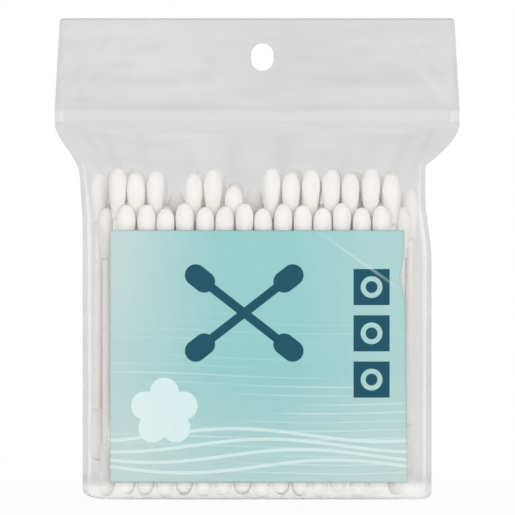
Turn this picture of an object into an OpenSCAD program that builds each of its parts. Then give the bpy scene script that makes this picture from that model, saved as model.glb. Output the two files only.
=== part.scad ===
// Clear film bag that holds one hundred cotton swabs and stands on its base.
// X runs to the right across the bag, the printed front faces -Y and Z points up.
// The origin is the middle of the base, and all sizes are in millimetres.

/* [Swabs] */
// Length of one swab over both cotton tips
swab_length = 72; // [68:1:76]
// Diameter of the paper stem
stem_d = 2.4; // [2:0.1:2.8]
// Largest diameter of a cotton tip
tip_d = 4.5; // [4:0.1:5]
// Length of the cotton wound on each end
tip_length = 13; // [10:0.5:15]
// Distance from the end of a tip to its thickest place
tip_crown = 4.4; // [3:0.1:6]
// Diameter of a tip where it ends on the stem
tip_foot_d = 2.9; // [2.6:0.1:3.2]
// Cotton past the end of the stem
tip_cap = 1.4; // [0.8:0.1:2.4]
// Clearance between a stem and the cotton round it
wrap_gap = 0.04; // [0.02:0.01:0.1]

/* [Bundle] */
// Clearance between two tips side by side in a row
side_gap = 0.32; // [0.3:0.01:0.8]
// Clearance between a tip and the stems of the next row
row_gap = 0.08; // [0.05:0.01:0.4]
// Extra distance between rows at the middle of the bag, where they bow out
row_crown = 0.3; // [0:0.05:0.8]
// How much higher the raised rows stand than the others
raised_lift = 8.8; // [8:0.1:12]
// Largest height that one swab stands out from its row
height_scatter = 0.7; // [0:0.1:1]
// Largest lean of one swab from upright, in degrees
lean_scatter = 0.08; // [0:0.01:0.1]
// How far the right-most swabs fan out at their tops, in degrees
fan = 0.9; // [0:0.1:1]
// Largest lean of the slow wave along a raised row, in degrees
wave_lean = 0.6; // [0:0.05:0.6]
// How far the bundle lies to the left of the middle of the bag
bundle_shift = 1.3; // [0.5:0.1:1.6]
// Clearance under the lowest swab
floor_gap = 0.3; // [0.2:0.05:1]

/* [Bag] */
// Wall of the film
film_t = 0.2; // [0.1:0.05:0.3]
// Width of the welded seam down each side
seam_w = 1.1; // [0.8:0.1:2.5]
// Room between the bundle and the film at the left side
left_room = 0.25; // [0.2:0.05:1.5]
// Room between the bundle and the film at front and back
face_room = 0.2; // [0.15:0.05:1]
// Height over which the base edge rounds off
base_round_h = 2; // [1:0.1:3]
// How far the base edge draws in at front and back
base_round_d = 4; // [2:0.1:5]
// How far the base edge draws in at the left corner
base_left_cut = 4.5; // [2:0.1:5]
// How far the base edge draws in at the right corner
base_right_cut = 1.3; // [0.5:0.1:3]

/* [Neck and header] */
// Free film between the highest swab and the press seal
neck_h = 11.3; // [9:0.1:18]
// Height of the press seal band
seal_h = 3; // [2.4:0.1:5]
// Height of the header above the press seal
header_h = 23; // [16:0.5:34]
// How much wider than the body the header is at the press seal, on each side
flare = 7; // [4:0.1:10]
// How much the header draws in from the press seal to its top, on each side
header_taper = 1.3; // [0:0.1:3]
// How far the right side of the bag is pulled in at the shoulder
right_pinch = 1.6; // [0:0.1:1.7]
// Radius of the header's top corners
corner_r = 0.8; // [0.3:0.1:1]
// Free space between the two films of the header
header_gap = 0.2; // [0.1:0.05:0.5]
// Height of the weld along the top edge
top_weld_h = 1.25; // [0.8:0.05:3]

/* [Hang hole] */
// Width of the hang hole
hole_w = 5.6; // [4.8:0.1:6]
// Height of the hang hole
hole_h = 6.8; // [6:0.1:9]
// From the top edge down to the middle of the hang hole
hole_drop = 9.7; // [8:0.1:13]
// How far the hang hole lies to the right of the middle
hole_shift = 1.3; // [-4:0.1:4]

/* [Press seal] */
// Thickness of the web that carries each profile
seal_web_t = 0.25; // [0.2:0.05:0.4]
// Diameter of the bead
bead_d = 0.7; // [0.5:0.05:0.9]
// Clearance round the bead and between the two strips
bead_gap = 0.06; // [0.04:0.01:0.1]
// Wall of the groove
groove_wall = 0.3; // [0.2:0.05:0.5]
// From the end of a strip to the side weld
strip_end_gap = 1; // [1:0.1:6]

/* [Print] */
// From the left side of the bag to the print
print_left = 7; // [5:0.1:12]
// From the right side of the bag to the print
print_right = 6.2; // [5:0.1:12]
// From the base to the print
print_bottom = 4.4; // [3:0.1:10]
// Height of the print
print_h = 62.7; // [55:0.1:70]
// Thickness of each layer of the print
ink_t = 0.12; // [0.08:0.01:0.3]
// Clearance between the film and the print, and between its layers
ink_gap = 0.1; // [0.08:0.01:0.3]
// Length of the crossed swabs in the picture
motif_swab = 36; // [20:0.5:36]
// Thickness of the stems in the picture
motif_stem = 2.2; // [1:0.1:3]
// Width of the swab heads in the picture
motif_head = 5.4; // [3:0.1:6]
// Angle between the crossed swabs and the horizontal
motif_angle = 38; // [25:1:50]
// Radius of the cotton flower in the picture
flower_r = 8.5; // [5:0.1:10]
// Side of the square tiles in the picture
tile = 9; // [6:0.1:10]
// Distance from one tile to the next
tile_pitch = 11.5; // [10.5:0.1:12]
// Width of the pale waves
wave_w = 0.8; // [0.4:0.1:1.4]
// Rise of a pale wave above its middle
wave_rise = 1.6; // [0.5:0.1:2]
// Distance from one pale wave to the next
wave_pitch = 2.6; // [1.5:0.1:3.5]
// From the lower edge of the print to the middle of the lowest wave
wave_foot = 4; // [3:0.1:6]

/* [Hidden] */

// Places in each row, from front to back. Even counts sit low and odd ones high,
// so that each tip lies against the slim stems of the next row.
row_places = [14, 15, 16, 17, 16, 15, 14];
// Places left empty in each row
empty_places = [[], [3, 7], [], [], [3, 12], [10], [4, 9]];
row_count = len(row_places);
middle_row = (row_count - 1) / 2;
longest_row = max(row_places);

pitch = tip_d + side_gap;
row_pitch = (tip_d + stem_d) / 2 + row_gap;
bundle_half = (longest_row - 1) / 2 * pitch + tip_d / 2;
floor_z = film_t + floor_gap + height_scatter;
top_swab_z = floor_z + raised_lift + swab_length + height_scatter;

// Half sizes of the space inside the film, from the middle of the bag
room_half_w = bundle_half + bundle_shift + left_room;
room_half_d = middle_row * (row_pitch + row_crown) + tip_d / 2 + face_room;
body_half_w = room_half_w + film_t + seam_w;

// How far above the crowns of the low rows the film begins to lean in
shoulder_rise = 2;

// Heights up the bag
shoulder_z = top_swab_z - raised_lift - tip_crown + shoulder_rise;
seal_z = top_swab_z + neck_h;
header_z = seal_z + seal_h;
top_z = header_z + header_h;
weld_z = top_z - top_weld_h;

// Half space inside the film at the press seal and in the header, and the clearance
// between the film and the web of a strip
groove_depth = bead_d + bead_gap;
web_gap = 0.05;
seal_half = seal_web_t + groove_depth / 2 + bead_gap * 1.5 + 2 * web_gap;
header_half = header_gap / 2;

// Exponents of the body's section and of the flat header's, which has squarer ends
body_power = 7;
header_power = 40;
// Exponent of the film's lean from the shoulder to the press seal
lean_power = 1.35;
// The right side's flare: its start above the highest swab, and how steeply it starts
right_flare_rise = 0.3;
right_flare_power = 0.6;
// The left side's flare: the share of it that starts low, and how far below the shoulder
left_lead = 0.2;
left_lead_drop = 5.5;
// Shares of the swabs' height between which the right side is pulled in
pinch_from = 0.72;
pinch_to = 0.92;
// How far below the highest swab the flare begins
flare_drop = 1.5;

// A raised swab that has settled by this much takes no part in its row's wave
still_drop = 4.3;

// Columns across one face of the film, and levels up its body, neck and header
columns = 13;
base_levels = 5;
body_levels = 12;
neck_levels = 12;
header_levels = 4;
corner_levels = 3;
print_columns = 26;
// Height over which the films close from the press seal to the header
header_step = 0.4;
// How far below the header the last level of the press seal lies
seal_edge = 0.01;

// Cuts reach past both faces by this much
past = 1;
// Facets round a stem and a tip
stem_facets = 24;
tip_facets = 24;
crown_steps = 4;
taper_steps = 3;
// Half gap that the inner face keeps where it meets a weld
weld_step = 0.05;

// 0 to 1 with a soft start and end as t goes from 0 to 1
function soft(t) = let (c = max(0, min(1, t))) c * c * (3 - 2 * c);

// How much of the base rounding is left at height z, from 1 at the base to 0
function base_cut(z) =
    z >= base_round_h ? 0 : 1 - sqrt(1 - pow(1 - max(z, 0) / base_round_h, 2));

// Share of the neck passed at height z
function neck_share(z) = (z - top_swab_z + flare_drop) / (seal_z - top_swab_z + flare_drop);

// Narrowing of the header above the press seal, and the rounding of its top corners
function taper(z) = header_taper * max(0, (z - header_z) / header_h)
    + corner_r * (1 - sqrt(1 - pow(max(0, min(1, (z - top_z) / corner_r + 1)), 2)));

// Share of the left side's early flare, and of the right side's late one, at height z
function left_share(z) =
    let (low = shoulder_z - left_lead_drop)
    (1 - left_lead) * soft(neck_share(z)) + left_lead * soft((z - low) / (seal_z - low));
function right_share(z) =
    let (low = top_swab_z + right_flare_rise)
    soft(pow(max(0, (z - low) / (seal_z - low)), right_flare_power));

// Outer edge of the film on the left and on the right at height z
function left_edge(z) =
    body_half_w + flare * left_share(z) - taper(z) - base_left_cut * base_cut(z);
function right_edge(z) =
    body_half_w + flare * right_share(z) - taper(z)
    - right_pinch * soft((z / top_swab_z - pinch_from) / (pinch_to - pinch_from))
        * (1 - soft(neck_share(z)))
    - base_right_cut * base_cut(z);

// Half depth of the space inside the film at height z, at its middle
function room_depth(z) =
    z < shoulder_z ? room_half_d - base_round_d * base_cut(z) :
    z < seal_z ? seal_half + (room_half_d - seal_half)
        * (1 - pow((z - shoulder_z) / (seal_z - shoulder_z), lean_power)) :
    z < header_z ? seal_half :
    header_half;

// Exponent of the section at height z
function section_power(z) = body_power
    + (header_power - body_power) * soft((z - shoulder_z) / (seal_z - shoulder_z));

// Depth of the section at a share u of its half width, from 1 at the middle to 0
function section_share(u, z) =
    let (p = section_power(z)) pow(max(0, 1 - pow(min(1, abs(u)), p)), 1 / p);

// Shares of the half width at which the film's columns stand, closer at the ends
shares = [for (k = [-columns : columns]) sin(90 * k / columns)];

// Front half of one level of the outer face: welded edge, columns, welded edge
function outer_front(z) =
    let (
        l = left_edge(z),
        r = right_edge(z),
        d = room_depth(z)
    )
    concat(
        [[-l, -film_t, z]],
        [for (u = shares)
            [u * (u < 0 ? l - seam_w : r - seam_w), -film_t - d * section_share(u, z), z]],
        [[r, -film_t, z]]
    );

// Front half of one level of the inner face, where low is its rise above the base
function inner_front(z, low) =
    let (
        l = left_edge(z - low) - seam_w - film_t,
        r = right_edge(z - low) - seam_w - film_t,
        d = room_depth(z - low) - weld_step
    )
    [for (u = shares)
        [u * (u < 0 ? l : r), -weld_step - d * section_share(u, z), z]];

// Heights of the levels from the base to the foot of the press seal
low_heights = concat(
    [for (k = [0 : base_levels]) base_round_h * (1 - cos(90 * k / base_levels))],
    [for (k = [1 : body_levels])
        base_round_h + (shoulder_z - base_round_h) * k / body_levels],
    [for (k = [1 : neck_levels])
        shoulder_z + (seal_z - shoulder_z) * k / (neck_levels + 1)]
);

// Solid whose levels are alike at front and back, given by the front half of each
module lofted(fronts) {
    half = len(fronts[0]);
    n = 2 * half;
    m = len(fronts);
    top = (m - 1) * n;
    points = [for (f = fronts)
        each concat(f, [for (k = [half - 1 : -1 : 0]) [f[k][0], -f[k][1], f[k][2]]])];
    sides = [for (i = [0 : m - 2], k = [0 : n - 1])
        let (a = i * n + k, b = i * n + (k + 1) % n)
        each [[a, a + n, b], [b, a + n, b + n]]];
    ends = [for (k = [0 : half - 2])
        let (a = k, b = k + 1, c = n - 2 - k, d = n - 1 - k)
        each [[a, b, c], [a, c, d], [top + a, top + c, top + b], [top + a, top + d, top + c]]];
    polyhedron(points = points, faces = concat(sides, ends));
}

// The band of the press seal swells out a little from the films above it
module film_outside() {
    low = header_z + header_step;
    high = top_z - corner_r;
    heights = concat(
        low_heights,
        [seal_z, header_z - seal_edge, low],
        [for (k = [1 : header_levels]) low + (high - low) * k / header_levels],
        [for (k = [1 : corner_levels]) high + corner_r * sin(90 * k / corner_levels)]
    );
    lofted([for (z = heights) outer_front(z)]);
}

module film_inside() {
    low = header_z + header_step;
    heights = concat(
        [for (z = low_heights) z < shoulder_z ? z + film_t * base_cut(z) : z],
        [seal_z, header_z - seal_edge, low],
        [for (k = [1 : header_levels]) low + (weld_z - low) * k / header_levels]
    );
    lofted([for (z = heights)
        inner_front(z, z < base_round_h + film_t ? film_t : 0)]);
}

// Upright slot with round ends, seen from the front
module slot(w, h) {
    straight = h - w;
    for (s = [-1, 1]) translate([0, s * straight / 2]) circle(d = w, $fn = 48);
    square([w, straight], center = true);
}

// One film folded at the base, welded down both sides and along the top
module bag_film() {
    color([0.86, 0.87, 0.88, 0.4])
        difference() {
            film_outside();
            film_inside();
            translate([hole_shift, 0, top_z - hole_drop])
                rotate([90, 0, 0])
                    linear_extrude(height = 2 * (header_half + film_t + past), center = true)
                        slot(hole_w, hole_h);
        }
}

// Reach of the press seal strips to each side
strip_half = body_half_w + flare - seam_w - film_t - strip_end_gap;

// A strip runs the width of the bag with its section in y and z
module strip(section) {
    translate([-strip_half, 0, seal_z + seal_h / 2])
        rotate([90, 0, 90])
            linear_extrude(height = 2 * strip_half)
                children();
}

// Web on the front film with a round bead on a short neck
module seal_bead_strip() {
    web_y = -seal_half + web_gap;
    neck_t = bead_d * 0.5;
    bead_y = web_y + seal_web_t + bead_gap * 2 + bead_d / 2;
    color([0.9, 0.91, 0.92])
        strip()
            union() {
                translate([web_y, -seal_h / 2 + bead_gap])
                    square([seal_web_t, seal_h - 2 * bead_gap]);
                translate([web_y + seal_web_t / 2, -neck_t / 2])
                    square([bead_y - web_y - seal_web_t / 2, neck_t]);
                translate([bead_y, 0]) circle(d = bead_d, $fn = 32);
            }
}

// Web on the back film with a groove that the bead snaps into
module seal_groove_strip() {
    web_y = seal_half - web_gap;
    mouth_y = -seal_half + web_gap + seal_web_t + bead_gap;
    bead_y = -seal_half + web_gap + seal_web_t + bead_gap * 2 + bead_d / 2;
    groove_h = bead_d + 2 * bead_gap + 2 * groove_wall;
    mouth_h = bead_d * 0.5 + 2 * bead_gap;
    color([0.84, 0.86, 0.88])
        strip()
            difference() {
                union() {
                    translate([web_y - seal_web_t, -seal_h / 2 + bead_gap])
                        square([seal_web_t, seal_h - 2 * bead_gap]);
                    translate([mouth_y, -groove_h / 2])
                        square([web_y - mouth_y, groove_h]);
                }
                translate([bead_y, 0]) circle(d = bead_d + 2 * bead_gap, $fn = 32);
                translate([mouth_y - past, -mouth_h / 2])
                    square([bead_y - mouth_y + past, mouth_h]);
            }
}

// Edges of the print
print_x0 = -body_half_w + print_left;
print_x1 = body_half_w - print_right;
print_z1 = print_bottom + print_h;
print_mid_x = (print_x0 + print_x1) / 2;
print_mid_z = print_bottom + print_h / 2;

// Front face of the film at x and z
function face_y(x, z) =
    -film_t - room_depth(z)
    * section_share(x / ((x < 0 ? left_edge(z) : right_edge(z)) - seam_w), z);

// The same on the flat facets that run from one level of the film to the next
function facet_y(x, z) =
    let (
        low = max([for (h = low_heights) if (h <= z) h]),
        high = min([for (h = low_heights) if (h > z) h])
    )
    face_y(x, low) + (face_y(x, high) - face_y(x, low)) * (z - low) / (high - low);

// A thin sheet over the print's area that follows the film, off it by the given gap
module print_sheet(off) {
    xs = [for (k = [0 : print_columns])
        print_x0 + (print_x1 - print_x0) * k / print_columns];
    zs = concat(
        [print_bottom],
        [for (h = low_heights) if (h > print_bottom && h < print_z1) h],
        [print_z1]
    );
    nx = len(xs);
    nz = len(zs);
    count = nx * nz;
    skin = [for (side = [0, 1], z = zs, x = xs)
        [x, facet_y(x, z) - off - (1 - side) * ink_t, z]];
    front = [for (j = [0 : nz - 2], i = [0 : nx - 2])
        let (a = j * nx + i)
        each [[a, a + nx, a + 1], [a + 1, a + nx, a + nx + 1]]];
    back = [for (f = front) [f[0] + count, f[2] + count, f[1] + count]];
    rim = concat(
        [for (i = [0 : nx - 2]) each [[i, i + 1, i + count], [i + 1, i + 1 + count, i + count]]],
        [for (i = [0 : nx - 2])
            let (a = (nz - 1) * nx + i)
            each [[a, a + count, a + 1], [a + 1, a + count, a + 1 + count]]],
        [for (j = [0 : nz - 2])
            let (a = j * nx)
            each [[a, a + count, a + nx], [a + nx, a + count, a + nx + count]]],
        [for (j = [0 : nz - 2])
            let (a = j * nx + nx - 1)
            each [[a, a + nx, a + count], [a + nx, a + nx + count, a + count]]]
    );
    polyhedron(points = skin, faces = concat(front, back, rim));
}

// Printed colour field on the front of the bag
module print_field() {
    color([0.58, 0.81, 0.8]) print_sheet(ink_gap);
}

// Cuts flat shapes, drawn from the middle of the print, out of a layer over the field
module printed() {
    intersection() {
        print_sheet(2 * ink_gap + ink_t);
        translate([print_mid_x, 0, print_mid_z])
            rotate([90, 0, 0])
                linear_extrude(height = 2 * room_half_d)
                    children();
    }
}

// Flat swab lying along x, with heads that are round at both ends
module swab_shape() {
    straight = motif_head * 0.5;
    square([motif_swab - motif_head, motif_stem], center = true);
    for (s = [-1, 1])
        translate([s * (motif_swab - motif_head - straight) / 2, 0]) {
            for (t = [-1, 1]) translate([t * straight / 2, 0]) circle(d = motif_head, $fn = 32);
            square([straight, motif_head], center = true);
        }
}

// Square tile with a ring cut out of it
module tile_shape() {
    ring_r = tile * 0.3;
    difference() {
        square(tile, center = true);
        difference() {
            circle(r = ring_r, $fn = 32);
            circle(r = ring_r * 0.55, $fn = 32);
        }
    }
}

// Crossed swabs and a column of tiles in dark ink
module print_dark_shapes() {
    color([0.02, 0.31, 0.38])
        printed() {
            translate([-0.1 * motif_swab, 0.3 * motif_swab])
                for (a = [-motif_angle, motif_angle]) rotate(a) swab_shape();
            for (k = [-1 : 1])
                translate([(print_x1 - print_x0) / 2 - tile, k * tile_pitch + tile_pitch / 2])
                    tile_shape();
        }
}

// Cotton flower of round petals
module flower_shape() {
    petals = 5;
    petal_r = flower_r * 0.42;
    for (k = [0 : petals - 1])
        rotate(90 + 360 * k / petals)
            translate([flower_r - petal_r, 0])
                circle(r = petal_r, $fn = 32);
    circle(r = petal_r, $fn = 32);
}

// One wave across the print
module wave_shape(phase) {
    steps = 24;
    reach = (print_x1 - print_x0) / 2;
    high = [for (k = [0 : steps])
        let (x = -reach + 2 * reach * k / steps)
        [x, wave_rise * sin(180 * x / reach + phase)]];
    polygon(concat(
        [for (p = high) [p[0], p[1] + wave_w / 2]],
        [for (k = [steps : -1 : 0]) [high[k][0], high[k][1] - wave_w / 2]]
    ));
}

// Cotton flower and waves in pale ink
module print_pale_shapes() {
    color([0.93, 0.97, 0.96])
        printed() {
            translate([-(print_x1 - print_x0) / 2 + 1.6 * flower_r, -print_h * 0.22]) flower_shape();
            for (k = [0 : 3])
                translate([0, -print_h / 2 + wave_foot + wave_pitch * k]) wave_shape(40 * k);
        }
}

// Repeatable scatter from -1 to 1 for place i of row j
function scatter(i, j) = sin(137 * i + 71 * j * j + 20);

// How far the raised swabs settle at x: two hollows and the right end
function settled(x) =
    5.4 * exp(-pow((x + 3.6) / 4, 2))
    + 6 * exp(-pow((x + 20.6) / 2.2, 2))
    + 0.75 * max(0, x - 0.78 * bundle_half);

function is_raised(j) = row_places[j] % 2 == 1;

// Places of row j that hold a swab
function filled(j) =
    [for (i = [0 : row_places[j] - 1]) if (len(search(i, empty_places[j])) == 0) i];

function swab_x(i, j) = (i - (row_places[j] - 1) / 2) * pitch - bundle_shift;

function swab_y(i, j) = (j - middle_row)
    * (row_pitch + row_crown * (1 - pow(swab_x(i, j) / body_half_w, 2)));

function swab_z(i, j) = floor_z + scatter(i, j) * height_scatter
    + (is_raised(j) ? raised_lift - settled(swab_x(i, j)) : 0);

// Lean of swab i of row j to the right: all fan out towards the right, and the raised
// ones lean in slow waves where they haven't settled
function lean(i, j) =
    let (x = swab_x(i, j), free = 1 - min(1, settled(x) / still_drop))
    lean_scatter * scatter(j, i)
    + fan * (x / bundle_half + 1) / 2
    + (is_raised(j) ? wave_lean * free * sin(3 * x + 120 * j + 150) : 0);

// Stands its children in the place of swab i of row j, leaning about its lower end
module placed(i, j) {
    translate([swab_x(i, j), swab_y(i, j), swab_z(i, j)])
        rotate([0, lean(i, j), 0])
            translate([0, 0, swab_length / 2])
                children();
}

// Radius of a tip at distance s from its end: a round crown that runs down to the foot
function tip_r(s) =
    s < tip_crown
    ? tip_d / 2 * pow(1 - pow(1 - s / tip_crown, 2.3), 1 / 2.3)
    : tip_foot_d / 2 + (tip_d - tip_foot_d) / 2
        * (1 - soft((s - tip_crown) / (tip_length - tip_crown)));

// Cotton tip with its end at z = 0, its foot below and a blind bore for the stem
module tip() {
    bore_r = stem_d / 2 + wrap_gap;
    bore_end = tip_cap - wrap_gap;
    crown = [for (k = [0 : crown_steps])
        let (s = tip_crown * (1 - cos(90 * k / crown_steps))) [tip_r(s), -s]];
    taper = [for (k = [1 : taper_steps])
        let (s = tip_crown + (tip_length - tip_crown) * k / taper_steps) [tip_r(s), -s]];
    rotate_extrude($fn = tip_facets)
        polygon(concat(crown, taper, [[bore_r, -tip_length], [bore_r, -bore_end], [0, -bore_end]]));
}

// Rolled paper stems of one row
module row_stems(j) {
    reach = swab_length - 2 * tip_cap;
    color([0.95, 0.93, 0.9])
        for (i = filled(j))
            placed(i, j) cylinder(d = stem_d, h = reach, center = true, $fn = stem_facets);
}

// Cotton tips on both ends of the swabs of one row
module row_tips(j) {
    color([0.97, 0.96, 0.94])
        for (i = filled(j))
            placed(i, j)
                for (s = [0, 1])
                    mirror([0, 0, s]) translate([0, 0, swab_length / 2]) tip();
}

bag_film();
seal_bead_strip();
seal_groove_strip();
print_field();
print_dark_shapes();
print_pale_shapes();
row_stems(0);  // row_1_stems
row_stems(1);  // row_2_stems
row_stems(2);  // row_3_stems
row_stems(3);  // row_4_stems
row_stems(4);  // row_5_stems
row_stems(5);  // row_6_stems
row_stems(6);  // row_7_stems
row_tips(0);  // row_1_tips
row_tips(1);  // row_2_tips
row_tips(2);  // row_3_tips
row_tips(3);  // row_4_tips
row_tips(4);  // row_5_tips
row_tips(5);  // row_6_tips
row_tips(6);  // row_7_tips
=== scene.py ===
import math
import bmesh
import bpy
import numpy as np
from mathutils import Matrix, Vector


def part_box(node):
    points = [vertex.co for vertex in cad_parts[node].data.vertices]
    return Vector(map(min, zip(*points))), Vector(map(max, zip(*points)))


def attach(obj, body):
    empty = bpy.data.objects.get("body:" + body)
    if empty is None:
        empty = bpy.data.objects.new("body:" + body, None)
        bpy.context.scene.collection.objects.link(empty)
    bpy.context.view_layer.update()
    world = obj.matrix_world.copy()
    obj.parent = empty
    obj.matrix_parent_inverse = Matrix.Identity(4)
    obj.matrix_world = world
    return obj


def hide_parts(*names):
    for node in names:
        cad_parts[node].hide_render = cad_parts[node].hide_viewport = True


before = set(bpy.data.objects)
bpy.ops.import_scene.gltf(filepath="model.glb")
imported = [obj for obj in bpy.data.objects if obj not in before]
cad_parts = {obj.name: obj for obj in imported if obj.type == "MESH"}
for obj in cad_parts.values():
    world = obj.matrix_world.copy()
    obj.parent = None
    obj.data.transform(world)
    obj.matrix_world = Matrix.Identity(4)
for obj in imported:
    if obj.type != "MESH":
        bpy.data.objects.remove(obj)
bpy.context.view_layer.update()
MM = 0.001

# Camera, light and floor
# The bag stands on a white sweep under soft light from both sides, seen level and
# straight on from far enough away that its sides stay parallel.
camera_distance = 2.50
camera_lift = math.radians(0.6)
aim_x = 0.1 * MM
aim_z = 60.2 * MM
picture_height = 128.75 * MM
sensor = 36.0
camera_data = bpy.data.cameras.new("camera")
camera_data.lens = sensor * camera_distance / picture_height
camera_data.sensor_width = sensor
camera = bpy.data.objects.new("camera", camera_data)
camera.location = (aim_x, -camera_distance * math.cos(camera_lift),
                   aim_z + camera_distance * math.sin(camera_lift))
camera.rotation_euler = (math.pi / 2 - camera_lift, 0, 0)
bpy.context.scene.collection.objects.link(camera)
bpy.context.scene.camera = camera
bpy.context.scene.view_settings.view_transform = "Standard"


def soft_lamp(name, place, width, height, power):
    """A flat lamp at place that faces the middle of the bag."""
    data = bpy.data.lights.new(name, "AREA")
    data.shape = "RECTANGLE"
    data.size = width
    data.size_y = height
    data.energy = power
    lamp = bpy.data.objects.new(name, data)
    lamp.location = place
    away = np.array((0, 0, aim_z)) - np.array(place)
    turn = math.atan2(away[1], away[0])
    drop = math.atan2(math.hypot(away[0], away[1]), -away[2])
    lamp.rotation_euler = (drop, 0, turn - math.pi / 2)
    bpy.context.scene.collection.objects.link(lamp)


soft_lamp("left_lamp", (-0.55, -0.62, 0.42), 0.55, 0.55, 0.85)
soft_lamp("right_lamp", (0.60, -0.55, 0.36), 0.55, 0.55, 0.80)
soft_lamp("front_lamp", (0.03, -0.80, 0.05), 0.90, 0.08, 2.3)
soft_lamp("top_lamp", (0.0, -0.05, 0.85), 0.80, 0.80, 0.9)
soft_lamp("back_lamp", (0.0, 0.75, 0.35), 0.70, 0.70, 1.7)


class Value:
    """A socket of a node tree. Arithmetic on it adds Math nodes to the tree."""

    def __init__(self, finish, socket):
        self.finish = finish
        self.socket = socket

    def math(self, operation, *others):
        """One Math node with this value as its first input."""
        return self.finish.node("ShaderNodeMath", {"operation": operation}, [self, *others])

    def __add__(self, other):
        return self.math("ADD", other)

    def __mul__(self, other):
        return self.math("MULTIPLY", other)

    def __sub__(self, other):
        return self.math("SUBTRACT", other)

    def __rsub__(self, other):
        return self * -1.0 + other

    __radd__ = __add__
    __rmul__ = __mul__


class Finish:
    """A material on a Principled shader, with the sockets that stay constant given by name."""

    def __init__(self, name, **constants):
        self.material = bpy.data.materials.new(name)
        self.material.use_nodes = True
        self.tree = self.material.node_tree
        self.tree.nodes.clear()
        self.out = self.tree.nodes.new("ShaderNodeOutputMaterial")
        self.skin = self.tree.nodes.new("ShaderNodeBsdfPrincipled")
        self.tree.links.new(self.skin.outputs[0], self.out.inputs[0])
        self.set(**constants)

    def put(self, socket, value):
        """Links a Value to a socket, or writes a plain number or colour into it."""
        if isinstance(value, Value):
            self.tree.links.new(value.socket, socket)
        elif socket.type == "RGBA":
            socket.default_value = (*value, 1.0)
        else:
            socket.default_value = value

    def set(self, **values):
        """Fills sockets of the shader, whose names have spaces where these have lines."""
        for key, value in values.items():
            self.put(self.skin.inputs[key.replace("_", " ")], value)

    def node(self, kind, settings=None, sockets=(), output=0):
        """Adds one node: its settings first, then its sockets by place or by name."""
        made = self.tree.nodes.new(kind)
        for key, value in (settings or {}).items():
            setattr(made, key, value)
        pairs = sockets.items() if isinstance(sockets, dict) else enumerate(sockets)
        for key, value in pairs:
            self.put(made.inputs[key], value)
        return Value(self, made.outputs[output])

    def axes(self):
        """The three axes of the place on the piece, in millimetres."""
        place = self.node("ShaderNodeTexCoord", output="Object")
        return [self.node("ShaderNodeSeparateXYZ", {}, [place], output=k) * (1 / MM) for k in range(3)]

    def noise(self, scale, detail=3.0, squash=(1, 1, 1), roughness=0.5, shift=0.0):
        """Cloudy noise about 0.5, scale in features per metre, squashed along the axes."""
        place = self.node("ShaderNodeTexCoord", output="Object")
        where = self.node("ShaderNodeMapping", {}, {"Vector": place, "Scale": squash,
                                                    "Location": (shift, shift, shift)})
        return self.node("ShaderNodeTexNoise", {},
                         {"Vector": where, "Scale": scale, "Detail": detail, "Roughness": roughness})

    def blend(self, share, low, high):
        """Colour that goes from low to high as share goes from 0 to 1."""
        return self.node("ShaderNodeMix", {"data_type": "RGBA"}, {0: share, 6: low, 7: high}, output=2)

    def ramp(self, value, low, high):
        """0 to 1, clipped, as value goes from low to high; falls if low is above high."""
        return self.node("ShaderNodeMapRange", {"clamp": True},
                         {0: value, 1: low, 2: high, 3: 0.0, 4: 1.0})

    def bump(self, height, depth):
        """Height in 0 to 1 over a depth in metres, into the surface's normal."""
        self.set(Normal=self.node("ShaderNodeBump", {}, {"Distance": depth, "Height": height}))


def mesh_piece(name, points, quads):
    """A smooth piece of its points and four-sided faces."""
    mesh = bpy.data.meshes.new(name)
    mesh.from_pydata(points.reshape(-1, 3).tolist(), [], quads.tolist())
    mesh.shade_smooth()
    piece = bpy.data.objects.new(name, mesh)
    bpy.context.scene.collection.objects.link(piece)
    return piece


def grid_quads(number, wrap=False):
    """Faces between the neighbours of a grid of point numbers with shape
    (parts, rows, columns); wrap joins the last column to the first."""
    right = np.roll(number, -1, axis=2) if wrap else number[:, :, 1:]
    left = number if wrap else number[:, :, :-1]
    return np.stack([left[:, :-1], right[:, :-1], right[:, 1:], left[:, 1:]], axis=-1).reshape(-1, 4)


world = bpy.data.worlds.new("studio")
bpy.context.scene.world = world
world.use_nodes = True
sky = world.node_tree
sky.nodes.clear()
sky_out = sky.nodes.new("ShaderNodeOutputWorld")
soft_sky = sky.nodes.new("ShaderNodeBackground")
soft_sky.inputs[0].default_value = (1.0, 1.0, 1.0, 1.0)
soft_sky.inputs[1].default_value = 0.70
white_sky = sky.nodes.new("ShaderNodeBackground")
white_sky.inputs[0].default_value = (1.0, 1.0, 1.0, 1.0)
white_sky.inputs[1].default_value = 1.0
sky_ray = sky.nodes.new("ShaderNodeLightPath")
sky_seen = None
for kind in ("Is Camera Ray", "Is Glossy Ray", "Is Transmission Ray"):
    if sky_seen is None:
        sky_seen = sky_ray.outputs[kind]
    else:
        either = sky.nodes.new("ShaderNodeMath")
        either.operation = "MAXIMUM"
        sky.links.new(sky_seen, either.inputs[0])
        sky.links.new(sky_ray.outputs[kind], either.inputs[1])
        sky_seen = either.outputs[0]
sky_mix = sky.nodes.new("ShaderNodeMixShader")
sky.links.new(sky_seen, sky_mix.inputs[0])
sky.links.new(soft_sky.outputs[0], sky_mix.inputs[1])
sky.links.new(white_sky.outputs[0], sky_mix.inputs[2])
sky.links.new(sky_mix.outputs[0], sky_out.inputs[0])

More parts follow.
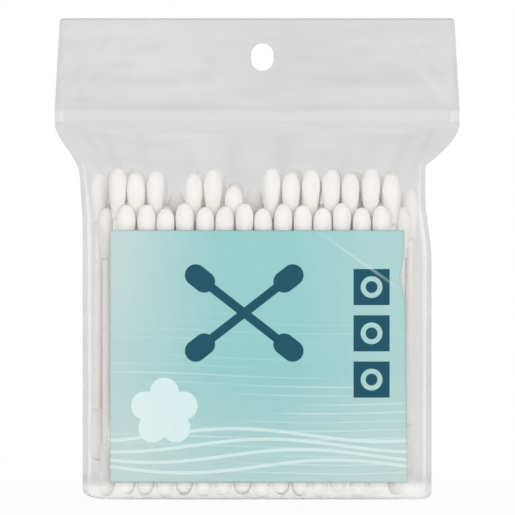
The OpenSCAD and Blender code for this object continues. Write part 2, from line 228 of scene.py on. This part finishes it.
floor_reach = 6.0
shadow_end = 90.0
white_start = 330.0
near_white = 0.88
floor_corners = np.array([[-1, -1, 0], [1, -1, 0], [1, 1, 0], [-1, 1, 0]]) * floor_reach
floor = mesh_piece("floor", floor_corners, np.array([[0, 1, 2, 3]]))
floor_finish = Finish("white_floor", Base_Color=(0.94, 0.94, 0.94), Roughness=0.9)
floor_x, floor_y = floor_finish.axes()[:2]
from_middle = (floor_x * floor_x + floor_y * floor_y).math("SQRT")
far_off = floor_finish.ramp(from_middle, shadow_end, white_start)
floor_glow = floor_finish.node("ShaderNodeEmission", {}, {"Color": (1.0, 1.0, 1.0), "Strength": 1.0})
floor_seen = floor_finish.node("ShaderNodeLightPath", output="Is Camera Ray")
floor_look = floor_finish.node("ShaderNodeMixShader", {},
                               {0: floor_seen * (near_white + (1 - near_white) * far_off),
                                1: Value(floor_finish, floor_finish.skin.outputs[0]), 2: floor_glow})
floor_finish.put(floor_finish.out.inputs[0], floor_look)
floor.data.materials.append(floor_finish.material)

# Paper stems
# A hundred slim rods rolled from white paper, standing side by side in seven rows.
# They keep their turned shape and show a faint seam that winds up each roll.
row_count = 7
paper_shade = (0.96, 0.93, 0.89)
paper_light = (0.985, 0.965, 0.94)
seam_colour = (0.86, 0.81, 0.75)
seam_strength = 0.2
stem_finish = Finish("rolled_paper", Roughness=0.6)
stem_x, stem_y, stem_z = stem_finish.axes()
seam = stem_finish.ramp((stem_z * 0.9 + stem_x * 1.1 + stem_y * 1.6).math("SINE"), 0.93, 1.0)
pulp = stem_finish.noise(900, 3, (1, 1, 0.15))
paper = stem_finish.blend(pulp, paper_shade, paper_light)
stem_finish.set(Base_Color=stem_finish.blend(seam * seam_strength, paper, seam_colour))
stem_finish.bump(pulp - seam * 0.5, 0.04 * MM)
for row in range(1, row_count + 1):
    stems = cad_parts[f"row_{row}_stems"]
    stems.data.materials.clear()
    stems.data.materials.append(stem_finish.material)

# Cotton tips
# Cotton wound on both ends of each stem: a round crown that runs down to a slim foot on
# the paper. No two are wound alike, and fine loose fibres lie along them.
tip_length = 13.0 * MM
tip_crown = 4.4 * MM
tip_r = 2.25 * MM
foot_r = 1.45 * MM
bore_r = 1.25 * MM
tip_cap = 1.4 * MM
tip_facets = 18
crown_power = 2.3
stem_apart = 1.0 * MM
wave_depth = (0.020, 0.014, 0.018, 0.010)
most_plump = 0.04
most_lean = 0.22 * MM
cotton_shade = (0.995, 0.965, 0.910)
cotton_light = (0.998, 0.980, 0.940)
lint_depth = 0.15 * MM
random = np.random.default_rng(7)


def soft(t):
    """0 to 1 with a soft start and end: three times the square less twice the cube."""
    c = np.clip(t, 0, 1)
    return c * c * (3 - 2 * c)


def stem_ends(node):
    """Lower and upper end of each stem of a node, read from its vertices. At either end
    the stems stand apart along x, so gaps in x part them."""
    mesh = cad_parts[node].data
    spots = np.empty(len(mesh.vertices) * 3)
    mesh.vertices.foreach_get("co", spots)
    spots = spots.reshape(-1, 3)
    middle_z = spots[:, 2].mean()
    ends = []
    low = spots[spots[:, 2] < middle_z]
    high = spots[spots[:, 2] > middle_z]
    for half, outermost in ((low, np.min), (high, np.max)):
        half = half[np.argsort(half[:, 0])]
        rims = np.split(half, np.where(np.diff(half[:, 0]) > stem_apart)[0] + 1)
        ends.append([[*(rim.max(0) + rim.min(0))[:2] / 2, outermost(rim[:, 2])] for rim in rims])
    return np.stack(ends, axis=1)


def tip_profile():
    """Distance from the crown's end and radius down one tip: a superellipse to the
    thickest place, a soft run to the foot, then the bore that holds the stem."""
    crown_s = tip_crown * (1 - np.cos(np.linspace(0, 1, 7) * math.pi / 2))
    share = np.clip(1 - (1 - crown_s / tip_crown) ** crown_power, 0, 1)
    crown = tip_r * share ** (1 / crown_power)
    down = np.linspace(0, 1, 8)[1:]
    run_s = tip_crown + (tip_length - tip_crown) * down
    run = foot_r + (tip_r - foot_r) * (1 - soft(down))
    bore_s = np.array([tip_length, tip_cap, tip_cap])
    bore = np.array([bore_r, bore_r, 0.0])
    return np.concatenate([crown_s, run_s, bore_s]), np.concatenate([crown, run, bore])


def wound_tips(ends):
    """Surface of every tip of a row: the profile turned about the stem's axis, its radius
    changed by a few low waves round and along it, its crown leaning a little."""
    s, r = tip_profile()
    skin = (np.arange(len(s)) < len(s) - 3).astype(float)[None, :, None]
    count = 2 * len(ends)
    axis = np.concatenate([ends[:, 0] - ends[:, 1], ends[:, 1] - ends[:, 0]])
    axis /= np.linalg.norm(axis, axis=1, keepdims=True)
    crown_end = np.concatenate([ends[:, 0], ends[:, 1]]) + axis * tip_cap
    side = np.cross(axis, [0, 1, 0])
    side /= np.linalg.norm(side, axis=1, keepdims=True)
    front = np.cross(axis, side)
    angle = np.linspace(0, 2 * math.pi, tip_facets, endpoint=False)[None, None, :]
    phase = random.uniform(0, 2 * math.pi, (4, count, 1, 1))
    depth = random.uniform(0.3, 1.0, (4, count, 1, 1))
    plump = random.uniform(0.0, most_plump, (count, 1, 1))
    along = (s / tip_length)[None, :, None]
    wave = (wave_depth[0] * depth[0] * np.cos(2 * angle + phase[0] + 2 * along)
            + wave_depth[1] * depth[1] * np.cos(3 * angle + phase[1] + 5 * along)
            + wave_depth[2] * depth[2] * np.cos(7 * along + phase[2])
            + wave_depth[3] * depth[3] * np.cos(5 * angle + phase[3] - 9 * along))
    radius = r[None, :, None] * (1 + skin * (wave + plump))
    lean = random.uniform(-most_lean, most_lean, (2, count, 1, 1))
    bend = np.clip(1 - along * 1.6, 0, 1) ** 1.5 * skin
    across = radius * np.cos(angle) + lean[0] * bend
    ahead = radius * np.sin(angle) + lean[1] * bend
    return (crown_end[:, None, None, :] - axis[:, None, None, :] * s[None, :, None, None]
            + side[:, None, None, :] * across[..., None] + front[:, None, None, :] * ahead[..., None])


def close_poles(piece):
    """Merges the doubled points at the poles and points every face outwards."""
    work = bmesh.new()
    work.from_mesh(piece.data)
    bmesh.ops.remove_doubles(work, verts=work.verts, dist=0.0001 * MM)
    bmesh.ops.recalc_face_normals(work, faces=work.faces)
    work.to_mesh(piece.data)
    work.free()
    piece.data.shade_smooth()


tip_finish = Finish("wound_cotton", Roughness=0.95, Subsurface_Weight=0.15, Subsurface_Scale=1.0 * MM,
                    Subsurface_Radius=(1.0, 0.97, 0.93), Sheen_Weight=0.9, Sheen_Roughness=0.85)
lint = tip_finish.noise(1500, 5, (1, 1, 0.35), 0.65)
tuft = tip_finish.noise(420, 3, (1, 1, 0.6), 0.5, 3.0)
tip_finish.set(Base_Color=tip_finish.blend(tuft, cotton_shade, cotton_light))
tip_finish.bump(lint * 0.6 + tuft * 0.8, lint_depth)
for row in range(1, row_count + 1):
    spots = wound_tips(stem_ends(f"row_{row}_stems"))
    order = np.arange(spots.size // 3).reshape(spots.shape[:3])
    tips = mesh_piece(f"cotton_tips_row_{row}", spots, grid_quads(order, wrap=True))
    close_poles(tips)
    tips.data.materials.append(tip_finish.material)
    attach(tips, "root")
    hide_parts(f"row_{row}_tips")

# Film bag
# One thin milky film, folded at the base and welded down both sides and along the top.
# It hangs round the swabs, closes at the press seal and creases where it is pulled.
film_t = 0.2 * MM
film_wall = 0.12 * MM
seam_w = 1.1 * MM
top_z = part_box("bag_film")[1][2]
header_h = 23.0 * MM
seal_h = 3.0 * MM
neck_h = 11.3 * MM
raised_lift = 8.8 * MM
shoulder_rise = 2.0 * MM
flare = 7.0 * MM
flare_drop = 1.5 * MM
left_lead = 0.2
left_lead_drop = 5.5 * MM
right_flare_rise = 0.3 * MM
right_flare_power = 0.6
header_taper = 1.3 * MM
corner_r = 0.8 * MM
right_pinch = 1.6 * MM
pinch_from = 0.72
pinch_run = 0.2
lean_power = 1.35
base_round_h = 2.0 * MM
base_round_d = 4.0 * MM
base_left_cut = 4.5 * MM
base_right_cut = 1.3 * MM
body_power = 7
header_power = 40
header_half = 0.1 * MM
seal_half = 0.82 * MM
seal_settle = 0.8 * MM
swab_pitch = 4.82 * MM
rib_height = 0.07 * MM
sway_height = 0.35 * MM
header_z = top_z - header_h
seal_z = header_z - seal_h
swab_top_z = seal_z - neck_h
shoulder_z = swab_top_z - raised_lift - tip_crown + shoulder_rise
body_half_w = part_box("bag_film")[1][0] - flare
room_half_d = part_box("bag_film")[1][1] - film_t


def base_cut(z):
    """How much of the base rounding is left at height z: a quarter circle."""
    return 1 - np.sqrt(1 - (1 - np.clip(z / base_round_h, 0, 1)) ** 2)


def neck_share(z):
    """Share of the neck passed at height z."""
    return np.clip((z - swab_top_z + flare_drop) / (seal_z - swab_top_z + flare_drop), 0, 1)


def film_edge(z, side):
    """Outer edge of the film at height z, on the left (-1) or the right (1): straight up
    the body, flared at the neck, tapered up the header to round corners. The left flare
    starts low and slowly, the right one late and steeply, above a pinch."""
    corner = np.clip((z - top_z) / corner_r + 1, 0, 1)
    taper = header_taper * np.clip((z - header_z) / header_h, 0, 1)
    taper = taper + corner_r * (1 - np.sqrt(1 - corner ** 2))
    lead_z = shoulder_z - left_lead_drop
    early = left_lead * soft((z - lead_z) / (seal_z - lead_z))
    left = flare * ((1 - left_lead) * soft(neck_share(z)) + early) - base_left_cut * base_cut(z)
    late_z = swab_top_z + right_flare_rise
    late = soft(np.clip((z - late_z) / (seal_z - late_z), 0, 1) ** right_flare_power)
    pinch = right_pinch * soft((z / swab_top_z - pinch_from) / pinch_run) * (1 - soft(neck_share(z)))
    right = flare * late - pinch - base_right_cut * base_cut(z)
    return body_half_w - taper + np.where(side < 0, left, right)


def film_room(z):
    """Half depth inside the film at height z: full in the body, then a lean to the seal."""
    lean = np.clip((z - shoulder_z) / (seal_z - shoulder_z), 0, 1) ** lean_power
    neck = seal_half + (room_half_d - seal_half) * (1 - lean)
    body = room_half_d - base_round_d * base_cut(z)
    header = header_half + (seal_half - header_half) * (1 - soft((z - header_z) / seal_settle))
    return np.where(z < shoulder_z, body, np.where(z < header_z, neck, header))


def section(u, z):
    """Share of the depth left at a share u of the half width: a superellipse that grows
    squarer up the neck."""
    power = body_power + (header_power - body_power) * soft((z - shoulder_z) / (seal_z - shoulder_z))
    return np.clip(1 - np.abs(u) ** power, 0, 1) ** (1 / power)


# Creases: middle x and z, half length, angle in degrees, height and half width
creases = [
    (-35.0, 106.6, 5, 10, 0.30, 1.9), (-37.0, 104.2, 5, 0, 0.28, 0.8), (-21.0, 104.7, 8, 1, 0.34, 0.7),
    (-15.0, 105.0, 3, -8, 0.20, 0.5), (25.0, 104.2, 6, 1, 0.34, 0.6), (33.5, 104.6, 3, 4, 0.24, 0.6),
    (14.0, 97.9, 9, 1, 0.28, 0.6), (-22.0, 98.2, 14, 1, 0.16, 0.6), (-26.7, 112.0, 3, 5, 0.24, 1.0),
    (11.5, 109.0, 2, 30, 0.30, 1.0), (13.0, 106.0, 2, 50, 0.26, 0.6), (0.0, 100.8, 7, 12, 0.14, 0.8),
    (-43.5, 103.6, 6, 48, -0.34, 0.8), (-45.0, 106.4, 3, 32, 0.32, 0.5), (-41.5, 104.8, 4, 60, 0.22, 0.7),
    (38.2, 114.0, 3, -55, 0.26, 0.6), (40.6, 112.6, 3, -62, -0.26, 0.7), (44.0, 101.0, 4, 75, 0.16, 0.9),
    (30.0, 110.5, 8, -22, -0.18, 1.2), (-10.0, 108.5, 8, 14, -0.16, 1.1), (42.0, 99.6, 5, 12, 0.18, 0.7),
    (-34.0, 93.1, 4, -6, 0.34, 0.4), (-26.0, 92.8, 2, 10, 0.30, 0.4), (-17.0, 93.2, 6, 1, 0.32, 0.4),
    (-26.0, 92.0, 12, 1, -0.28, 0.5), (-30.0, 90.4, 9, 0, 0.26, 0.4), (-9.0, 91.9, 6, -8, -0.26, 0.5),
    (17.5, 92.1, 5, 1, 0.46, 0.4), (27.0, 91.7, 6, -2, 0.28, 0.4), (9.5, 91.4, 3, 5, 0.26, 0.5),
    (18.0, 90.6, 14, 1, -0.22, 0.7), (28.0, 88.7, 6, 3, 0.34, 0.5), (39.0, 91.0, 6, 12, 0.24, 0.5),
    (-41.0, 86.0, 7, -62, 0.28, 1.0), (-35.0, 84.5, 7, -70, 0.22, 1.3), (41.0, 88.4, 5, 48, 0.30, 0.8),
    (36.0, 85.5, 7, 62, 0.26, 1.2), (28.0, 85.0, 7, 78, 0.20, 1.6), (-6.0, 84.0, 7, -82, 0.34, 3.0),
    (-22.0, 86.0, 5, 80, 0.20, 2.0), (6.0, 86.0, 5, 95, 0.18, 1.8), (17.0, 84.5, 4, 88, 0.20, 2.0),
    (25.5, 59.5, 13, -35, 0.12, 0.9),
]


def crease_height(x, z, side):
    """Sum of soft ridges, each a bell across its line that fades towards its ends. The
    back has the same ones, mirrored."""
    height = np.zeros(np.shape(x))
    for mid_x, mid_z, half, angle, rise, width in creases:
        c = math.cos(math.radians(angle))
        s = math.sin(math.radians(angle))
        dx = -side * x / MM - mid_x
        dz = z / MM - mid_z
        bell = np.exp(-((dz * c - dx * s) / width) ** 2)
        height += rise * MM * bell * np.exp(-((dx * c + dz * s) / half) ** 4)
    return height


def film_y(x, z, side):
    """Outer face of the film at x and z, at the front (-1) or the back (1): the section,
    soft ribs over the stems, creases from the shoulder up and a slow sway of the header."""
    half = np.where(x < 0, film_edge(z, -1), film_edge(z, 1)) - seam_w
    depth = film_t + film_room(z) * section(x / half, z)
    calm = np.clip((half - np.abs(x)) / (3 * MM), 0, 1)
    at_seal = 1 - 0.75 * np.exp(-((z - seal_z - seal_h / 2) / (1.6 * MM)) ** 4)
    lift = crease_height(x, z, side) * calm * at_seal * soft((top_z - z) / (3 * MM))
    lift = np.clip(lift, -0.1 * MM, 1.0 * MM)
    rib = rib_height * np.cos(2 * math.pi * x / swab_pitch) * soft(z / (8 * MM) - 0.5)
    rib *= soft((76 * MM - z) / (8 * MM)) * calm
    sway = sway_height * np.sin(x / (13 * MM) + 0.6) * soft((z - header_z - 2 * MM) / (12 * MM))
    return side * (depth + lift + rib) + sway


turn = np.linspace(-1, 1, 133)
shares = (5 * turn - turn ** 5) / 4
levels = np.concatenate([
    base_round_h * (1 - np.cos(np.linspace(0, 1, 7) * math.pi / 2)),
    np.linspace(base_round_h, shoulder_z, 36)[1:],
    np.linspace(shoulder_z, seal_z, 40)[1:],
    np.linspace(seal_z, header_z, 7)[1:],
    np.linspace(header_z, top_z - corner_r, 42)[1:],
    top_z - corner_r + corner_r * np.sin(np.linspace(0, 1, 7)[1:] * math.pi / 2),
])
base_rows = 12


def film_sheet(side):
    """Points of the front (-1) or back (1) from the base up: a column on each welded
    edge, and between them columns that close up towards the edges."""
    z = np.repeat(levels[:, None], len(shares), axis=1)
    x = shares * (film_edge(z, np.sign(shares)) - seam_w)
    face = np.stack([x, film_y(x, z, side), z], axis=-1)
    weld_y = np.full_like(levels, side * film_t)
    left = np.stack([-film_edge(levels, -1), weld_y, levels], axis=-1)
    right = np.stack([film_edge(levels, 1), weld_y, levels], axis=-1)
    return np.concatenate([left[:, None], face, right[:, None]], axis=1)


front = film_sheet(-1)[::-1]
back = film_sheet(1)
across = (np.arange(1, base_rows) / base_rows)[:, None, None]
base = front[-1][None] * (1 - across) + back[0][None] * across
film_grid = np.concatenate([front, base, back])
film_rows, film_columns = film_grid.shape[:2]
number = np.arange(film_rows * film_columns).reshape(film_rows, film_columns)
cells = grid_quads(number[None]).reshape(film_rows - 1, film_columns - 1, 4)
keep = np.ones(cells.shape[:2], bool)

# The hang hole is punched through both sheets of the header
hole_w = 5.6 * MM
hole_h = 6.8 * MM
hole_x = 1.3 * MM
hole_z = top_z - 9.7 * MM
hole_margin = 1.4 * MM


def slot_reach(angle):
    """Distance from the middle of an upright slot with round ends to its rim."""
    c = np.abs(np.cos(angle))
    s = np.abs(np.sin(angle))
    straight = (hole_h - hole_w) / 2
    flat = hole_w / 2 / np.maximum(c, 1e-6)
    rounded = straight * s + np.sqrt((hole_w / 2) ** 2 - (straight * c) ** 2)
    return np.where(flat * s <= straight, flat, rounded)


film_spots = [film_grid.reshape(-1, 3)]
film_quads = []
spot_count = len(film_spots[0])
for side, rows in ((-1, range(len(levels))), (1, range(film_rows - len(levels), film_rows))):
    z = film_grid[rows, film_columns // 2, 2]
    in_z = np.array(rows)[np.abs(z - hole_z) < hole_h / 2 + hole_margin]
    in_x = np.where(np.abs(film_grid[in_z[0], :, 0] - hole_x) < hole_w / 2 + hole_margin)[0]
    j0, j1, i0, i1 = in_z[0], in_z[-1], in_x[0], in_x[-1]
    keep[j0:j1, i0:i1] = False
    rim = np.concatenate([number[j0, i0:i1], number[j0:j1, i1],
                          number[j1, i1:i0:-1], number[j1:j0:-1, i0]])
    start = film_spots[0][rim]
    angle = np.arctan2(start[:, 2] - hole_z, start[:, 0] - hole_x)
    reach = slot_reach(angle)
    edge = np.stack([hole_x + reach * np.cos(angle), hole_z + reach * np.sin(angle)], axis=-1)
    ring = rim
    for t in (0.3, 0.6, 0.82, 0.94, 1.0):
        xz = start[:, [0, 2]] * (1 - t) + edge * t
        made = np.arange(len(rim)) + spot_count
        spot_count += len(rim)
        film_spots.append(np.stack([xz[:, 0], film_y(xz[:, 0], xz[:, 1], side), xz[:, 1]], axis=-1))
        film_quads.append(grid_quads(np.stack([ring, made])[None], wrap=True))
        ring = made

half_rows = film_rows // 2 - (1 - film_rows % 2)
j = np.arange(half_rows)
for column in (0, film_columns - 1):
    end = number[:, column]
    film_quads.append(np.stack([end[j], end[j + 1], end[film_rows - 2 - j], end[film_rows - 1 - j]], axis=-1))
i = np.arange(film_columns - 1)
film_quads.append(np.stack([number[0, i], number[0, i + 1], number[-1, i + 1], number[-1, i]], axis=-1))
film_quads.append(cells[keep])
film_spots = np.concatenate(film_spots)
film = mesh_piece("film_bag", film_spots, np.concatenate(film_quads))
close_poles(film)
# Crease height in millimetres at each point, used below for painted shade and light along the creases
pulled = crease_height(film_spots[:, 0], film_spots[:, 2], np.sign(film_spots[:, 1])) / MM
film.data.attributes.new("pulled", "FLOAT", "POINT").data.foreach_set("value", pulled)
wall = film.modifiers.new("wall", "SOLIDIFY")
wall.thickness = film_wall
wall.offset = -1.0

clear_colour = (0.125, 0.110, 0.114)
grazing_sheen_colour = (0.57, 0.555, 0.55)
fold_and_light_colour = (0.97, 0.96, 0.95)
film_finish = Finish("milky_film", Roughness=0.3)
film_depth, film_z = film_finish.axes()[1:]
cloud = film_finish.noise(60, 4, (1, 1, 1.6), 0.55)
streak = film_finish.noise(90, 3, (0.35, 0.35, 3.0), 0.5, 1.0)
seal_band = (film_finish.ramp(film_z, seal_z / MM - 0.1, seal_z / MM + 0.5)
             * film_finish.ramp(film_z, header_z / MM + 0.1, header_z / MM - 0.5))
top_edge = film_finish.ramp(film_z, top_z / MM - 0.7, top_z / MM - 0.1)
# Painted shade and light: the haze thickens along raised creases, which show darker, and thins along sunken
# ones, which show lighter
crease_shading_mask = film_finish.node("ShaderNodeAttribute", {"attribute_name": "pulled"}, output="Fac")
header_share = film_finish.ramp(film_z, header_z / MM, header_z / MM + 0.5)
front_sheet = film_finish.ramp(film_depth, 1.0, -1.0)
# Painted sheen: film that faces sideways is painted a paler grey, a painted grazing reflection, and it is
# made denser where it is seen edge-on
facing = film_finish.node("ShaderNodeTexCoord", output="Normal")
side_on = film_finish.node("ShaderNodeSeparateXYZ", {}, [facing], output=0).math("ABSOLUTE")
steep = film_finish.ramp(side_on, 0.72, 0.995)
edge_on = film_finish.ramp(side_on, 0.985, 0.9998)
# Near the base the film gets a near-white haze: partly the denser folded film, partly painted light that
# covers the shade on the swab bottoms behind it
fold_and_painted_light = film_finish.ramp(film_z, 6.5, 3.0)
haze = (cloud * 0.03 + streak * 0.03 + crease_shading_mask * 0.05 + 0.07) * (1.2 - 0.4 * front_sheet)
haze = haze * (1.0 - seal_band * 0.25) * (1.0 - steep * 0.3)
haze = haze + top_edge * 0.06 + edge_on * 0.4 + fold_and_painted_light * 0.2 + header_share * 0.012
film_colour = film_finish.blend(steep, clear_colour, grazing_sheen_colour)
film_finish.set(Base_Color=film_finish.blend(fold_and_painted_light, film_colour, fold_and_light_colour), Alpha=haze)
film_finish.bump(cloud * 0.6 + streak * 0.4, 0.25 * MM)
film.data.materials.append(film_finish.material)
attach(film, "root")
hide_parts("bag_film")

# Press seal strips
# Two extruded rails of milky plastic, a bead and a groove, melted to the inside of the
# films. They show as a paler band across the bag.
rail_shade = (0.665, 0.660, 0.660)
rail_light = (0.71, 0.705, 0.705)
rail_finish = Finish("pale_rail", Roughness=0.5)
rail_line = rail_finish.noise(500, 2, (0.05, 1, 1))
rail_finish.set(Base_Color=rail_finish.blend(rail_line, rail_shade, rail_light))
rail_finish.bump(rail_line, 0.05 * MM)
for node in ("seal_bead_strip", "seal_groove_strip"):
    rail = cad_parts[node]
    rail.data.materials.clear()
    rail.data.materials.append(rail_finish.material)

# Print
# Ink on the front of the bag: a soft field of teal with a darker picture of two crossed
# swabs and three tiles, and a paler flower and waves. It follows the film.
# Painted highlights lighten the teal towards its ends and along a crease.
print_low, print_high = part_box("print_field")
print_half_w = (print_high[0] - print_low[0]) / 2 / MM
print_half_h = (print_high[2] - print_low[2]) / 2 / MM
print_x = (print_high[0] + print_low[0]) / 2 / MM
print_z = (print_high[2] + print_low[2]) / 2 / MM
ink_gap = 0.1 * MM
ink_t = 0.12 * MM
edge_dip = 1.1
dip_at = 0.63
dip_width = 0.13
edge_slant = 0.45
print_u = np.linspace(-1, 1, 121)[None, :]
print_v = np.linspace(-1, 1, 101)[:, None]
drawn_in = edge_dip * np.exp(-((print_v - dip_at) / dip_width) ** 2) + edge_slant * (1 + print_v)
ink_x = (print_x + print_half_w * print_u - np.clip(print_u, 0, 1) ** 6 * drawn_in) * MM
ink_z = (print_z + print_half_h * print_v + 0 * print_u) * MM
ink_points = np.stack([ink_x, film_y(ink_x, ink_z, -1) - ink_gap, ink_z], axis=-1)
ink_order = np.arange(ink_x.size).reshape(ink_x.shape)
ink = mesh_piece("front_print", ink_points, grid_quads(ink_order[None]))
layer = ink.modifiers.new("layer", "SOLIDIFY")
layer.thickness = ink_t
layer.offset = 1.0

ink_finish = Finish("printed_ink", Roughness=0.5, Specular_IOR_Level=0.15)
art_x, art_z = ink_finish.axes()[::2]
art_x = art_x - print_x
art_z = art_z - print_z


def distance(x, z):
    """Length of the vector from the origin to a place."""
    return (x * x + z * z).math("SQRT")


def inside(reach, softness=0.06):
    """1 where a signed distance is below zero and 0 where it is above."""
    return ink_finish.ramp(reach, softness, -softness)


swab_angle = math.radians(38)
swab_drawn = 36.0
swab_head = 5.4
stick_half = 1.1
head_straight = 0.5 * swab_head
head_at = (swab_drawn - swab_head - head_straight) / 2
arm_x = (art_x + 0.1 * swab_drawn).math("ABSOLUTE")
arm_z = (art_z - 0.3 * swab_drawn).math("ABSOLUTE")
arm_along = arm_x * math.cos(swab_angle) + arm_z * math.sin(swab_angle)
arm_off = (arm_z * math.cos(swab_angle) - arm_x * math.sin(swab_angle)).math("ABSOLUTE")
stick = (arm_off - stick_half).math("MAXIMUM", arm_along - head_at)
past_head = ((arm_along - head_at).math("ABSOLUTE") - head_straight / 2).math("MAXIMUM", 0.0)
bud = distance(past_head, arm_off) - swab_head / 2
crossed = inside(stick.math("MINIMUM", bud))

tile_half = 4.5
tile_pitch = 11.5
ring_middle = 2.09
ring_half = 0.61
tile_x = (art_x - (print_half_w - 2 * tile_half)).math("ABSOLUTE")
tile_row = (art_z - tile_pitch / 2).math("ABSOLUTE")
tile_z = tile_row.math("MINIMUM", (tile_row - tile_pitch).math("ABSOLUTE"))
ring_gap = (distance(tile_x, tile_z) - ring_middle).math("ABSOLUTE") - ring_half
tiles = inside(tile_x.math("MAXIMUM", tile_z) - tile_half) * (1.0 - inside(ring_gap))

flower_r = 8.5
petal_r = 0.42 * flower_r
flower_x = art_x + (print_half_w - 1.6 * flower_r)
flower_z = art_z + 0.22 * 2 * print_half_h
flower = distance(flower_x, flower_z) - petal_r
for petal in range(5):
    way = math.radians(90 + 72 * petal)
    petal_reach = distance(flower_x - (flower_r - petal_r) * math.cos(way),
                           flower_z - (flower_r - petal_r) * math.sin(way)) - petal_r
    flower = flower.math("MINIMUM", petal_reach)
pale = inside(flower) * 0.75
wave_rise = 1.6
wave_pitch = 2.6
wave_foot = 4
wave_half = 0.4
for wave in range(4):
    crest = (art_x * (math.pi / print_half_w) + math.radians(40 * wave)).math("SINE") * wave_rise
    line_z = wave_foot + wave_pitch * wave - print_half_h
    off_line = (art_z - line_z - crest).math("ABSOLUTE") - wave_half
    pale = pale.math("MAXIMUM", inside(off_line) * 0.6)

ripple = art_z * 2.9 + (art_x * 0.06 + 0.5).math("SINE") * 2.2
ripple = ripple + ink_finish.noise(28, 2, (0.5, 1, 1), 0.5, 5.0) * 5.0
stroke = ink_finish.ramp(ink_finish.noise(75, 2, (0.25, 1, 2.0), 0.5, 9.0), 0.44, 0.60)
strand = ink_finish.ramp(ripple.math("SINE"), 0.70, 1.0) * stroke * ink_finish.ramp(art_z, 14.0, -12.0)
pale = pale.math("MAXIMUM", strand * 0.38)

# Painted highlight: the teal is paler towards the left and right ends, where the film curves away, and it is
# also paler towards the bottom and the lower right corner; it is a little deeper in the left middle, and
# noise makes the ink uneven
deep_x = ink_finish.ramp(art_x, -37.0, -10.0) * (1.0 - 0.5 * ink_finish.ramp(art_x, 8.0, 34.0))
deep_z = ink_finish.ramp(art_z, -30.0, -4.0)
pale_corner = ink_finish.ramp(art_x, 0.0, 34.0) * ink_finish.ramp(art_z, -4.0, -28.0)
off_middle = (art_z + 3.0).math("ABSOLUTE")
left_middle = ink_finish.ramp(art_x, -10.0, -30.0) * ink_finish.ramp(off_middle, 20.0, 6.0)
depth = deep_x * (0.25 + 0.75 * deep_z) * (1.0 - 0.7 * pale_corner) + left_middle * 0.16
depth = depth + (ink_finish.noise(45, 3, (1, 1, 0.5)) - 0.5) * 0.35
teal_pale = (0.435, 0.550, 0.532)
teal_deep = (0.237, 0.478, 0.474)
pale_ink = (0.64, 0.75, 0.74)
dark_ink = (0.001, 0.061, 0.096)
crease_shine = (0.58, 0.72, 0.71)
field = ink_finish.blend(depth, teal_pale, teal_deep)
field = ink_finish.blend(pale, field, pale_ink)
field = ink_finish.blend(crossed.math("MAXIMUM", tiles), field, dark_ink)
# Painted highlight: a pale streak where a film crease over the print catches the light
streak_angle = math.radians(-35)
streak_x = art_x - (25.5 - print_x)
streak_z = art_z - (59.5 - print_z)
streak_along = (streak_x * math.cos(streak_angle) + streak_z * math.sin(streak_angle)).math("ABSOLUTE")
streak_off = (streak_z * math.cos(streak_angle) - streak_x * math.sin(streak_angle)).math("ABSOLUTE")
crease_highlight_share = ink_finish.ramp(streak_off, 0.55, 0.0) * ink_finish.ramp(streak_along, 14.0, 5.0)
field = ink_finish.blend(crease_highlight_share * 0.35, field, crease_shine)
ink_finish.set(Base_Color=field)
grain = ink_finish.noise(2500, 2)
ink_finish.bump(grain, 0.01 * MM)
ink.data.materials.append(ink_finish.material)
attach(ink, "root")
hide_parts("print_field", "print_dark_shapes", "print_pale_shapes")
